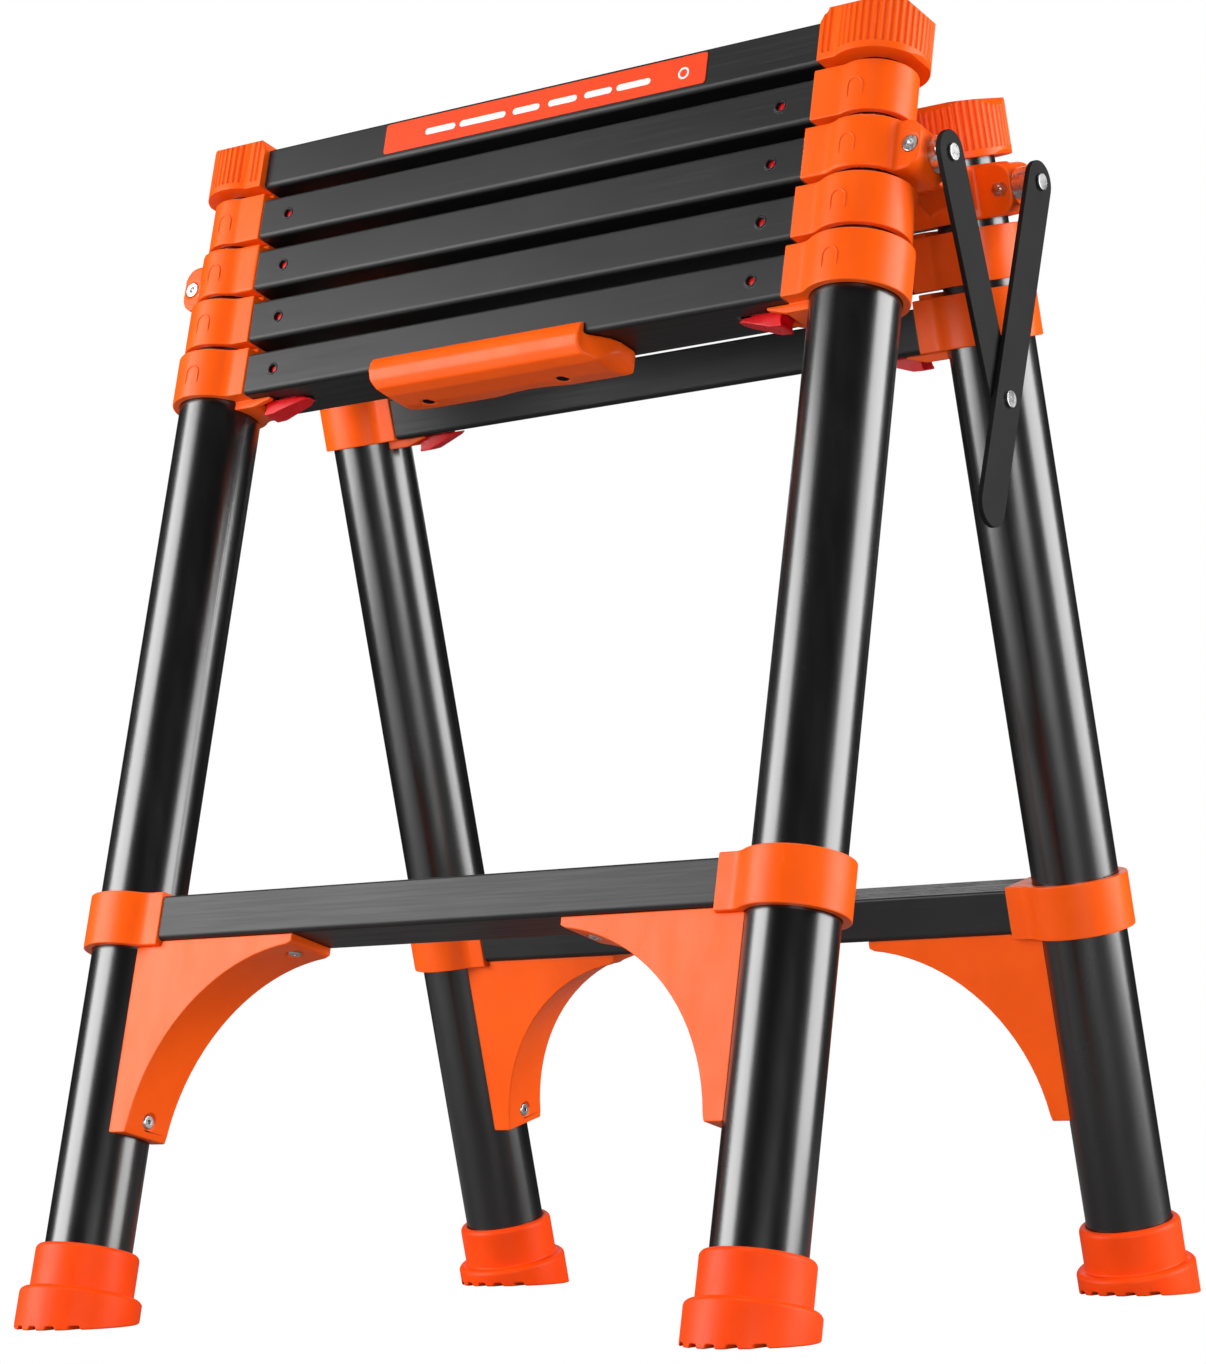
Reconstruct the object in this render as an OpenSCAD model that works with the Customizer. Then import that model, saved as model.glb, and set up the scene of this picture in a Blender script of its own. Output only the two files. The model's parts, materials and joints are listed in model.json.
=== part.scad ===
// Folding sawhorse made of two telescopic ladder frames, hinged together at the top.
// Frame: X along the rungs, front frame towards -Y, +Z up, origin on the ground in the middle.
// Each frame is drawn in its own leg coordinates: x along the rungs, y inwards, z up the leg.

/* [Frame] */
// Distance between the two tube axes of one frame
tube_pitch = 440; // [430:1:450]
// Lean of each leg from upright, in degrees
splay = 13.6; // [13:0.1:14]
// Distance from the middle plane to the point where a leg axis meets the ground
foot_reach = 195; // [193:0.5:197]
// Height of the main hinge axis above the ground
hinge_height = 600; // [598:0.5:602]

/* [Tubes] */
// Outside diameter of the largest tube, section 5
tube_d = 48; // [47:0.5:49]
// Step in diameter from one section to the next smaller one
tube_d_step = 4.5; // [4:0.1:4.8]
// Wall of every tube
tube_wall = 1.5; // [1.2:0.1:1.6]
// Leg position of the lower end of tube 4
tube_bottom = 130; // [128:1:150]

/* [Rungs] */
// Depth of a rung, front to back
rung_depth = 38; // [36:0.5:40]
// Height of a rung
rung_h = 25; // [25:0.5:27]
// Wall of a rung
rung_wall = 1.6; // [1.2:0.1:2]
// Leg position of the underside of rung 5, the lowest of the stack
stack_base = 534.8; // [532:0.2:538]
// Rise from one closed rung to the next
stack_pitch = 33.2; // [33:0.1:34]
// Leg position of the underside of the fixed step rung
step_level = 209.8; // [207:0.2:213]
// Travel of each telescopic section
travel = 290; // [270:5:290]

/* [Collars and caps] */
// Wall of a collar around its tube
collar_wall = 4.5; // [4:0.1:5]
// Lip of a collar above its rung
collar_lip = 4.2; // [4:0.1:4.4]
// Length of collar sleeve between the tube and the rung
sleeve_reach = 10; // [9:0.5:11]
// Outside radius of an end cap
cap_r = 27; // [26:0.5:28]
// Height of an end cap
cap_h = 31.5; // [31:0.5:34]

/* [Feet and gussets] */
// Radius of the upper sleeve of a foot
foot_sleeve_r = 28.4; // [27:0.2:30]
// Radius of the sole of a foot
foot_sole_r = 33.4; // [31:0.2:35]
// Reach of a gusset under the step rung, from the middle plane
gusset_tip = 90; // [85:1:100]
// Leg position of the lower end of a gusset
gusset_bottom = 103; // [100:1:110]

/* [Side links] */
// Length of a link between its two pivots
link_len = 131.2; // [128:0.2:135]
// Width of a link bar
link_w = 24; // [20:0.5:26]
// Thickness of a link bar
link_t = 3; // [2.5:0.1:3]
// Tail of the rear link below the joint of the two links
link_tail = 61; // [50:1:70]

/* [Locks] */
// Radius of a lock pin
lock_pin_r = 3.5; // [3:0.1:3.8]
// Play between a lock pin and the tube it will lock
lock_gap = 0.4; // [0.3:0.1:0.6]

/* [Handle] */
// Length of the carrying handle
handle_len = 160; // [140:5:170]
// Place of the middle of the handle along its rung
handle_x = -8; // [-15:1:0]
// Drop of the handle below its rung
handle_drop = 14.5; // [12:0.5:16]

/* [Hidden] */
$fn = 64;

ORANGE = "orangered";
BLACK = "#101012";
RUNG_GREY = "#3c3c3e";
STEEL = "silver";
RED = "crimson";
CHARCOAL = "#2c2c2e";

axis_x = tube_pitch / 2;
half_depth = rung_depth / 2;
collar_h = rung_h + collar_lip;

// A point (world y, world z) in the leg coordinates of the front frame
function leg_y(y, z) = (y + foot_reach) * cos(splay) - z * sin(splay);
function leg_z(y, z) = (y + foot_reach) * sin(splay) + z * cos(splay);
// A point (leg y, leg z) of the front frame in the world
function world_y(y, z) = -foot_reach + z * sin(splay) + y * cos(splay);
function world_z(y, z) = z * cos(splay) - y * sin(splay);

// Section n of a frame, counted from 1 at the top to 5 at the ground
function tube_r(n) = (tube_d - (5 - n) * tube_d_step) / 2;
function rung_z(n) = stack_base + (5 - n) * stack_pitch;
function rung_end(n) = axis_x - tube_r(n) - sleeve_reach;
function tube_low(n) = tube_bottom + (4 - n) * stack_pitch;
function lock_x(n) = rung_end(n) - 20.5;
lock_z = rung_h / 2;

hinge_y = leg_y(0, hinge_height);
hinge_z = leg_z(0, hinge_height);
hinge_pin_r = 3;
hinge_knuckle_r = 9;
hinge_clear_r = 9.6;
knuckle_gap = 0.4;
arm_half_w = 14;
mid_knuckle_half = 5.6;

pivot_y = 7.7;
pivot_z = 615.1;
pivot_pin_r = 4;
running_gap = 0.05;
lug_pin_x0 = axis_x + 24.5;
lug_x1 = axis_x + 36;
lug_y0 = -10;
lug_y1 = 18;
lug_half_h = 14;
screw_x = axis_x + 30;
screw_r = 2;
screw_head_r = 4.4;
front_link_x = axis_x + 42;
rear_link_x = front_link_x + link_t + 0.6;
head_t = 1.8;
link_rivet_r = 3;
link_rivet_play = 0.8;

function arc(cx, cy, r, a0, a1, steps) =
  [for (i = [0 : steps]) let (t = a0 + (a1 - a0) * i / steps) [cx + r * cos(t), cy + r * sin(t)]];

// Outline with its own corner radius at the bottom and at the top
function slab(x0, x1, y0, y1, r_low, r_high, steps = 6) = concat(
  arc(x0 + r_low, y0 + r_low, r_low, 180, 270, steps),
  arc(x1 - r_low, y0 + r_low, r_low, 270, 360, steps),
  arc(x1 - r_high, y1 - r_high, r_high, 0, 90, steps),
  arc(x0 + r_high, y1 - r_high, r_high, 90, 180, steps)
);

module front() {
  translate([0, -foot_reach, 0]) rotate([-splay, 0, 0]) children();
}

module rear() {
  mirror([0, 1, 0]) front() children();
}

module right() {
  children();
}

module left() {
  mirror([1, 0, 0]) children();
}

module pair() {
  right() children();
  left() children();
}

// Extrudes a (y, z) outline along x, from x0 to x1
module along_x(x0, x1) {
  translate([x0, 0, 0]) rotate([90, 0, 90]) linear_extrude(x1 - x0) children();
}

// Extrudes an (x, z) outline along y, from y0 to y1
module along_y(y0, y1) {
  translate([0, y1, 0]) rotate([90, 0, 0]) linear_extrude(y1 - y0) children();
}

module rod_x(x0, x1, y, z, r) {
  translate([x0, y, z]) rotate([0, 90, 0]) cylinder(h = x1 - x0, r = r);
}

module rod_y(y0, y1, x, z, r) {
  translate([x, y0, z]) rotate([-90, 0, 0]) cylinder(h = y1 - y0, r = r);
}

module rod_z(z0, z1, x, y, r) {
  translate([x, y, z0]) cylinder(h = z1 - z0, r = r);
}

// ---- tubes ----

bush_flange_h = 8;
bush_plug_h = 14;
bush_play = 0.12;
lock_hole_r = 4;

// One tube of section n between two leg positions. Its holes face the rung: the upper one passes
// the lock pin of its own rung, where it has locks, and the lower one takes the pin of section n + 1.
module tube(n, z0, z1, own_lock) {
  r = tube_r(n);
  difference() {
    rod_z(z0, z1, axis_x, 0, r);
    rod_z(z0 - 1, z1 + 1, axis_x, 0, r - tube_wall);
    if (own_lock) rod_x(axis_x - r - 2, axis_x - r + 5, 0, rung_z(n) + lock_z, lock_hole_r);
    if (n < 5) rod_x(axis_x - r - 2, axis_x - r + 5, 0, rung_z(n + 1) + lock_z - travel, lock_hole_r);
  }
}

// Guide bush plugged into the lower end of tube n, running inside tube n + 1
module bush(n) {
  outer = tube_r(n + 1) - tube_wall - bush_play;
  inner = tube_r(n) - tube_wall;
  difference() {
    union() {
      rod_z(tube_low(n) - bush_flange_h, tube_low(n), axis_x, 0, outer);
      rod_z(tube_low(n), tube_low(n) + bush_plug_h, axis_x, 0, inner);
    }
    rod_z(tube_low(n) - bush_flange_h - 1, tube_low(n) + bush_plug_h + 1, axis_x, 0, inner - 3);
  }
}

module inner_tubes(n, own_lock = true) {
  color(BLACK) pair() {
    tube(n, tube_low(n), rung_z(n) + rung_h, own_lock);
    bush(n);
  }
}

foot_tube_z = 14;

module base_tubes() {
  color(BLACK) pair() difference() {
    tube(5, foot_tube_z, rung_z(5) + rung_h, true);
    rod_x(axis_x - tube_r(5) - 1, axis_x - tube_r(5) + tube_wall + 1, 0, tube_rivet_z, rivet_r);
  }
}

// ---- rungs ----

tread_groove_w = 2.4;
tread_groove_d = 0.8;
tread_grooves = 3;
tread_step = 4.6;
tread_wall = 2.4;
spigot_len = 10;
spigot_play = 0.2;
window_r = 3.2;

// Section of a rung: soft lower edges, ribbed tread, hollow inside
module rung_section() {
  difference() {
    polygon(slab(-half_depth, half_depth, 0, rung_h, 3, 1.6));
    polygon(slab(-half_depth + rung_wall, half_depth - rung_wall, rung_wall, rung_h - tread_wall, 1.6, 0.8));
    for (side = [-1, 1], i = [1 : tread_grooves])
      translate([side * i * tread_step - tread_groove_w / 2, rung_h - tread_groove_d])
        square([tread_groove_w, tread_groove_d + 1]);
  }
}

module rung(z, half_len) {
  translate([0, 0, z]) along_x(-half_len, half_len) rung_section();
}

// Rung of section n with the two round windows of its locks in the outer face
module lock_rung(n) {
  color(RUNG_GREY) difference() {
    rung(rung_z(n), rung_end(n));
    pair() rod_y(-half_depth - 1, -half_depth + rung_wall + 1, lock_x(n), rung_z(n) + lock_z, window_r);
    if (n == 5) pair() translate([lever_stem_x0 - 8, -lever_slot_w / 2, rung_z(5) - 1])
      cube([lever_stem_x1 - lever_stem_x0 + 9, lever_slot_w, rung_wall + 2]);
  }
}

// ---- collars ----

sleeve_half = half_depth + 1;
blend_r = 14;
blend_bite = 0.05;

// Plan of a collar: ring around the tube, flat sleeve to the rung, hollow blend between them.
// The blend circle bites a little into both, so that no two curves only touch.
module collar_plan(r, reach) {
  xc = -sqrt(pow(r + blend_r, 2) - pow(sleeve_half + blend_r, 2));
  circle(r, $fn = 96);
  translate([-reach, -sleeve_half]) square([reach, 2 * sleeve_half]);
  for (side = [0, 1]) mirror([0, side]) difference() {
    polygon([[xc, 0], [xc, sleeve_half + blend_r], [0, 0]]);
    translate([xc, sleeve_half + blend_r - blend_bite]) circle(blend_r);
  }
}

module spigot(n, z) {
  y = half_depth - rung_wall - spigot_play;
  translate([rung_end(n) - spigot_len, -y, z + rung_wall + spigot_play])
    cube([spigot_len + 1, 2 * y, rung_h - rung_wall - tread_wall - 2 * spigot_play]);
}

pad_h = 2.8;
pad_half_w = 12;

// Solid of a collar of section n before it is bored: ring, sleeve, spigot and stacking pad
module collar_blank(n) {
  translate([axis_x, 0, rung_z(n)]) linear_extrude(collar_h)
    collar_plan(tube_r(n) + collar_wall, axis_x - rung_end(n));
  spigot(n, rung_z(n));
  translate([rung_end(n), -pad_half_w, rung_z(n) + collar_h]) cube([8, 2 * pad_half_w, pad_h]);
}

module collar_bores(n) {
  rod_z(rung_z(n) - 60, rung_z(n) + rung_h, axis_x, 0, tube_r(n));
  rod_z(rung_z(n) + rung_h - 1, rung_z(n) + 60, axis_x, 0, tube_r(n - 1) + 0.35);
  rod_x(rung_end(n) - spigot_len - 1, axis_x, 0, rung_z(n) + lock_z, lock_pin_r + 0.3);
}

module collar(n) {
  difference() {
    collar_blank(n);
    collar_bores(n);
  }
}

fork_x0 = 172;
fork_half_w = 11;
fork_slot_half = 7.4;
fork_slot_len = 13;
fork_drop = 5;

// Collar of section 5, with the fork that guards the release lever
module base_collar() {
  z = rung_z(5);
  difference() {
    union() {
      collar_blank(5);
      along_y(-fork_half_w, fork_half_w) polygon([
        [fork_x0, z], [fork_x0, z - 1.6], [fork_x0 + 12, z - fork_drop],
        [axis_x - 18, z - fork_drop], [axis_x - 18, z + 1], [rung_end(5), z + 1], [rung_end(5), z]
      ]);
    }
    collar_bores(5);
    translate([fork_x0 - 1, -fork_slot_half, z - fork_drop - 1])
      cube([fork_slot_len, 2 * fork_slot_half, fork_drop + 1]);
  }
}

// Lug of a hinge collar that carries the side link: rounded block outside the tube
module link_lug() {
  difference() {
    along_y(lug_y0, lug_y1)
      polygon(slab(axis_x, lug_x1, pivot_z - lug_half_h, pivot_z + lug_half_h, 9, 9));
    rod_x(lug_pin_x0, lug_x1 + 1, pivot_y, pivot_z, pivot_pin_r);
    rod_y(lug_y0 - 1, lug_y1 + 1, screw_x, pivot_z, screw_r);
    rod_y(lug_y0 - 1, lug_y0 + 2.6, screw_x, pivot_z, screw_head_r + 0.3);
  }
}

// Arm of a hinge collar that reaches in to the main hinge; mid is true for the middle knuckle
module hinge_arm(mid) {
  top = rung_z(3) + collar_h;
  difference() {
    union() {
      along_x(axis_x - arm_half_w, axis_x + arm_half_w) polygon([
        [15, rung_z(3) + 2], [hinge_y - 12, hinge_z - 9.5], [hinge_y, hinge_z - hinge_knuckle_r],
        [hinge_y, hinge_z + hinge_knuckle_r], [hinge_y - 12, hinge_z + 6], [26, top], [15, top]
      ]);
      rod_x(axis_x - arm_half_w, axis_x + arm_half_w, hinge_y, hinge_z, hinge_knuckle_r);
    }
    if (mid) pair_about_axis() rod_x(mid_knuckle_half, arm_half_w + 1, hinge_y, hinge_z, hinge_clear_r);
    else rod_x(axis_x - mid_knuckle_half - knuckle_gap, axis_x + mid_knuckle_half + knuckle_gap,
      hinge_y, hinge_z, hinge_clear_r);
    rod_x(axis_x - arm_half_w - 1, axis_x + arm_half_w + 1, hinge_y, hinge_z,
      mid ? hinge_pin_r : hinge_pin_r + running_gap);
  }
}

// Children drawn on both sides of the tube axis
module pair_about_axis() {
  translate([axis_x, 0, 0]) children();
  translate([axis_x, 0, 0]) mirror([1, 0, 0]) children();
}

module hinge_collar(mid) {
  difference() {
    union() {
      collar_blank(3);
      link_lug();
      hinge_arm(mid);
    }
    collar_bores(3);
  }
}

// Pivot pin held in a lug, drilled for the cross screw; x_end is where it ends
module lug_pin(x_end) {
  difference() {
    rod_x(lug_pin_x0, x_end, pivot_y, pivot_z, pivot_pin_r);
    rod_y(lug_y0, lug_y1, screw_x, pivot_z, screw_r);
  }
}

// Cross screw through a lug and its pin, with a nut behind
module lug_screw() {
  difference() {
    union() {
      rod_y(lug_y0, lug_y0 + 2.6, screw_x, pivot_z, screw_head_r);
      rod_y(lug_y0 + 2.6, lug_y1 + 4.4, screw_x, pivot_z, screw_r);
    }
    rod_y(lug_y0 - 1, lug_y0 + 1.6, screw_x, pivot_z, 2, $fn = 6);
  }
  difference() {
    translate([screw_x, lug_y1, pivot_z]) rotate([-90, 0, 0]) cylinder(h = 3.4, r = 4.2, $fn = 6);
    rod_y(lug_y1 - 1, lug_y1 + 5, screw_x, pivot_z, screw_r);
  }
}

// Pin, spacer disc and riveted head that carry a link; x_link is the inner face of the link
module link_hardware(x_link) {
  lug_pin(x_link + link_t + 0.2);
  rod_x(x_link + link_t + 0.2, x_link + link_t + head_t, pivot_y, pivot_z, 4.6);
  difference() {
    rod_x(lug_x1 + 0.1, x_link - 0.3, pivot_y, pivot_z, 10);
    rod_x(lug_x1, x_link, pivot_y, pivot_z, pivot_pin_r);
  }
  lug_screw();
}

// Main hinge pin with a head at each end
module hinge_pin() {
  x0 = axis_x - arm_half_w;
  x1 = axis_x + arm_half_w;
  rod_x(x0 - 0.2, x1 + 0.2, hinge_y, hinge_z, hinge_pin_r);
  rod_x(x0 - 2.4, x0 - 0.2, hinge_y, hinge_z, 5);
  rod_x(x1 + 0.2, x1 + 2.4, hinge_y, hinge_z, 5);
}

step_collar_r = tube_d / 2 + 5;
step_collar_z = step_level - 2.8;

module step_collar() {
  difference() {
    union() {
      translate([axis_x, 0, step_collar_z]) linear_extrude(collar_h + 0.8)
        collar_plan(step_collar_r, axis_x - rung_end(5));
      spigot(5, step_level);
    }
    rod_z(step_collar_z - 1, step_collar_z + collar_h + 2, axis_x, 0, tube_r(5));
  }
}

// ---- end caps ----

rib_depth = 1;
rib_r = 1.2;
rib_turn = 8;
rib_pitch = 3.7;
cap_skirt = 4;

cap_half = half_depth + 4;
cap_reach = axis_x - rung_end(2);

module cap_plan() {
  circle(cap_r, $fn = 96);
  translate([-cap_reach, -cap_half]) square([cap_reach, 2 * cap_half]);
}

// Grooves between the grip ribs of a cap
module rib_grooves() {
  off = rib_r - rib_depth;
  for (i = [-14 : 14]) rotate(i * rib_turn) translate([cap_r + off, 0]) circle(rib_r, $fn = 20);
  for (side = [-1, 1], i = [0, 1]) translate([-17.6 - i * rib_pitch, side * (cap_half + off)])
    circle(rib_r, $fn = 20);
}

// Cap of section n: ribbed shell over the rung end and the tube, chamfered along its top
module cap(n) {
  z0 = rung_z(n);
  z1 = z0 + cap_h;
  x0 = rung_end(n);
  difference() {
    intersection() {
      union() {
        translate([axis_x, 0, z0]) linear_extrude(cap_skirt) cap_plan();
        translate([axis_x, 0, z0 + cap_skirt]) linear_extrude(cap_h - cap_skirt) difference() {
          cap_plan();
          rib_grooves();
        }
      }
      along_y(-40, 40) polygon([
        [x0, z0], [axis_x + cap_r - 2, z0], [axis_x + cap_r, z0 + 2], [axis_x + cap_r, z1 - 6],
        [axis_x + cap_r - 5, z1 - 1], [axis_x + 8, z1], [x0 + 5, z1], [x0, z1 - 9]
      ]);
      along_x(x0 - 1, axis_x + cap_r + 1) polygon([
        [-cap_r - 1, z0], [cap_r + 1, z0], [cap_r, z1 - 4],
        [cap_r - 6, z1], [-cap_r + 6, z1], [-cap_r, z1 - 4]
      ]);
    }
    rod_z(z0 - 1, rung_z(n) + rung_h, axis_x, 0, tube_r(n));
  }
  spigot(n, rung_z(n));
}

// ---- feet and gussets ----

foot_step_z = 17.5;
foot_top_z = 41.5;
sole_groove_w = 5;
sole_groove_d = 2;

module foot_blank() {
  difference() {
    union() {
      rod_z(-20, foot_step_z - 2, axis_x, 0, foot_sole_r);
      translate([axis_x, 0, foot_step_z - 2]) cylinder(h = 2, r1 = foot_sole_r, r2 = foot_sole_r - 2);
      rod_z(foot_step_z - 1, foot_top_z - 2, axis_x, 0, foot_sleeve_r);
      translate([axis_x, 0, foot_top_z - 2]) cylinder(h = 2, r1 = foot_sleeve_r, r2 = foot_sleeve_r - 1.6);
    }
    rod_z(foot_tube_z, foot_top_z + 1, axis_x, 0, tube_r(5));
  }
}

// Foot cut flat at the ground, with tread grooves across the sole
module foot() {
  difference() {
    intersection() {
      front() foot_blank();
      translate([axis_x - 60, -foot_reach - 60, 0]) cube([120, 120, 80]);
    }
    for (i = [-2 : 2]) translate([axis_x + i * 11 - sole_groove_w / 2, -foot_reach - 60, -1])
      cube([sole_groove_w, 120, sole_groove_d + 1]);
  }
}

arch_r = 112;
arch_top = [gusset_tip + 3, step_level - 5.8];
arch_low = [axis_x - 30, gusset_bottom + 4];
gusset_web = 2.6;
gusset_half = half_depth - 2.5;

// Centre of the arch circle through the two ends of the arch
arch_mid = (arch_top + arch_low) / 2;
arch_chord = norm(arch_low - arch_top);
arch_dir = (arch_low - arch_top) / arch_chord;
arch_c = arch_mid + sqrt(pow(arch_r, 2) - pow(arch_chord / 2, 2)) * [arch_dir[1], -arch_dir[0]];
arch_a0 = atan2(arch_top[1] - arch_c[1], arch_top[0] - arch_c[0]);
arch_a1 = atan2(arch_low[1] - arch_c[1], arch_low[0] - arch_c[0]);

module gusset() {
  x_in = rung_end(5) - 1;
  x_tube = axis_x - 13;
  flange = 3.4;
  difference() {
    along_y(-gusset_half, gusset_half) polygon(concat(
      [[x_in, step_level], [x_in, step_collar_z], [x_tube, step_collar_z], [x_tube, gusset_bottom],
       [arch_low[0] + 1, gusset_bottom]],
      arc(arch_c[0], arch_c[1], arch_r, arch_a1, arch_a0, 20),
      [[gusset_tip, arch_top[1] + 1.5], [gusset_tip, step_level]]
    ));
    along_y(-gusset_half + gusset_web, gusset_half - gusset_web) polygon(concat(
      [[x_in - 1, step_level + 1], [x_in - 1, step_collar_z - 2], [x_tube + 1, step_collar_z - 2],
       [x_tube + 1, gusset_bottom + 20]],
      arc(arch_c[0], arch_c[1], arch_r + flange, arch_a1 + 8, arch_a0 - 14, 14),
      [[gusset_tip + 28, step_level + 1]]
    ));
    rod_z(gusset_bottom - 1, step_level + 1, axis_x, 0, tube_r(5));
    rivet_at_rung(true);
    rivet_at_tube(true);
  }
}

rivet_r = 2;
rivet_head_r = 4.4;
tip_rivet_x = gusset_tip + 11;
tip_seat = 6.2;
tube_rivet_z = gusset_bottom + 9;
tube_seat = 5.4;
rivet_tail = 0.4;

// Blind rivet along +z from the origin: head below, shank above
module rivet(length, bore) {
  if (bore) {
    translate([0, 0, -8]) cylinder(h = 8, r = rivet_head_r + 0.4);
    cylinder(h = length, r = rivet_r);
  } else difference() {
    union() {
      translate([0, 0, -1.5]) cylinder(h = 1.5, r1 = rivet_head_r - 1, r2 = rivet_head_r);
      cylinder(h = length, r = rivet_r);
    }
    translate([0, 0, -2]) cylinder(h = 4, r = 1.1);
  }
}

// Rivet through the tip of a gusset into the step rung, and through its foot into the tube
module rivet_at_rung(bore) {
  translate([tip_rivet_x, 0, step_level - tip_seat]) rivet(tip_seat + rung_wall + rivet_tail, bore);
}

module rivet_at_tube(bore) {
  translate([axis_x - tube_r(5) - tube_seat, 0, tube_rivet_z]) rotate([0, 90, 0])
    rivet(tube_seat + tube_wall + rivet_tail, bore);
}

module gusset_rivets() {
  pair() {
    rivet_at_rung(false);
    rivet_at_tube(false);
  }
}

// Step rung, drilled for its gusset rivets
module step_rung() {
  color(RUNG_GREY) difference() {
    rung(step_level, rung_end(5));
    pair() rod_z(step_level - 1, step_level + rung_wall + 1, tip_rivet_x, 0, rivet_r);
  }
}

// ---- handle and label ----

handle_screw_y = 3;
handle_screw_dx = 47;
handle_recess_r = 3.6;
wave_back = 14;
wave_rise = 4;

module handle_section() {
  z = rung_z(5);
  d = handle_drop;
  polygon([
    [-half_depth, z], [-half_depth, z + 7], [-half_depth - 1.6, z + 6.6], [-half_depth - 3.6, z + 3],
    [-half_depth - 4.4, z - 2], [-half_depth - 3.4, z - 7], [-half_depth, z - d + 2.6],
    [-half_depth + 7, z - d + 0.4], [2, z - d], [13, z - d + 1.4], [17.5, z - d + 4.2],
    [19, z - d + 8], [19, z]
  ]);
}

module handle() {
  z = rung_z(5);
  x0 = handle_x - handle_len / 2;
  x1 = handle_x + handle_len / 2;
  difference() {
    intersection() {
      along_x(x0, x1) handle_section();
      along_y(-40, 40) polygon(slab(x0, x1, z - handle_drop - 1, z + 8, 13, 1));
      handle_plan(x0, x1);
    }
    handle_screws(true);
  }
}

// Plan of the handle: corners rounded towards the back
// Outline of the handle from below: slanted right end, finger waves along the back
module handle_plan(x0, x1) {
  wave = [for (i = [20 : -1 : 0])
    [x0 + 12 + i / 20 * (handle_len - 15), wave_back + wave_rise * cos(360 * (1.45 * i / 20 - 0.3))]];
  translate([0, 0, stack_base - 40]) linear_extrude(80) polygon(concat(
    [[x0 + 2, 8], [x0, 0], [x0, -30], [x1 - 13, -30], [x1 - 13, -20], [x1 - 2, -8], [x1, -2], [x1, 11]],
    wave
  ));
}

module handle_screws(bore) {
  z = rung_z(5);
  for (side = [-1, 1]) {
    x = handle_x - 8 + side * handle_screw_dx;
    if (bore) {
      rod_z(z - handle_drop - 1, z - 5, x, handle_screw_y, handle_recess_r);
      rod_z(z - 6, z + rung_wall + 1, x, handle_screw_y, 1.8);
    } else {
      rod_z(z - 7.4, z - 5, x, handle_screw_y, handle_recess_r - 0.2);
      rod_z(z - 5.1, z + rung_wall + 3, x, handle_screw_y, 1.8);
    }
  }
}

module label_plate() {
  z = rung_z(1);
  along_y(-half_depth - 0.5, -half_depth) polygon(slab(-104, 121, z + 4.2, z + rung_h - 2, 2, 2));
}

// ---- side links ----

a_y = world_y(pivot_y, pivot_z);
a_z = world_z(pivot_y, pivot_z);
c_z = a_z - sqrt(pow(link_len, 2) - pow(a_y, 2));

// Bar in the (y, z) plane from p to q with round ends, running on by extra past q
module bar_plan(p, q, extra) {
  d = q - p;
  len = norm(d);
  translate(p) rotate(atan2(d[1], d[0])) {
    circle(link_w / 2);
    translate([0, -link_w / 2]) square([len + extra, link_w]);
    translate([len + extra, 0]) circle(link_w / 2);
  }
}

module front_link_bar() {
  difference() {
    along_x(front_link_x, front_link_x + link_t) bar_plan([a_y, a_z], [0, c_z], 0);
    rod_x(front_link_x - 1, front_link_x + link_t + 1, a_y, a_z, pivot_pin_r + running_gap);
    rod_x(front_link_x - 1, front_link_x + link_t + 1, 0, c_z, link_rivet_r + link_rivet_play);
  }
}

module rear_link_bar() {
  difference() {
    along_x(rear_link_x, rear_link_x + link_t) bar_plan([-a_y, a_z], [0, c_z], link_tail);
    rod_x(rear_link_x - 1, rear_link_x + link_t + 1, -a_y, a_z, pivot_pin_r + running_gap);
    rod_x(rear_link_x - 1, rear_link_x + link_t + 1, 0, c_z, link_rivet_r);
  }
}

module link_joint() {
  rod_x(front_link_x - 0.4, rear_link_x + link_t, 0, c_z, link_rivet_r);
  rod_x(front_link_x - 2, front_link_x - 0.4, 0, c_z, 6);
  rod_x(rear_link_x + link_t, rear_link_x + link_t + head_t, 0, c_z, 4.6);
}

// ---- locks ----

lever_stem_x0 = 158;
lever_stem_x1 = 168;
lever_slot_w = 10;
lever_play = 0.6;
block_half_y = 6;
block_back = 8;
block_len = 15;
block_h = 16;
block_gap = 0.4;

// Sliding lock of section n: block with a red window face, pin towards the inner tube
module lock(n) {
  x = lock_x(n);
  z = rung_z(n) + lock_z;
  y0 = -half_depth + rung_wall + block_gap;
  color(RED) {
    translate([x - block_back, y0, z - block_h / 2]) cube([block_len, block_half_y - y0, block_h]);
    rod_x(x + block_len - block_back - 1, axis_x - tube_r(n - 1) - lock_gap, 0, z, lock_pin_r);
    if (n == 5) release_lever();
  }
}

// Finger lever under rung 5, joined to its block through the slot in the rung
module release_lever() {
  z = rung_z(5);
  stem_w = lever_slot_w - 2 * lever_play;
  translate([lever_stem_x0, -stem_w / 2, z - 2]) cube([lever_stem_x1 - lever_stem_x0, stem_w, 8]);
  intersection() {
    along_y(-6, 6) polygon(concat(
      [[149, z - 0.6], [149, z - 1.4], [154, z - 3]],
      [[172, z - 8.8], [178.6, z - 9.2]],
      arc(184, z - 5, 6, 215, 140, 5),
      [[178.6, z - 0.6]]
    ));
    translate([0, 0, z - 20]) linear_extrude(20) polygon([
      [148, -1.5], [153, -4.5], [170, -6], [181, -6], [181, 6], [170, 6], [153, 4.5], [148, 1.5]
    ]);
  }
}

// ---- nodes ----

module front_tubes_5() { front() base_tubes(); }

module front_rung_5() {
  front() difference() {
    lock_rung(5);
    handle_screws(true);
  }
}

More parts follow.
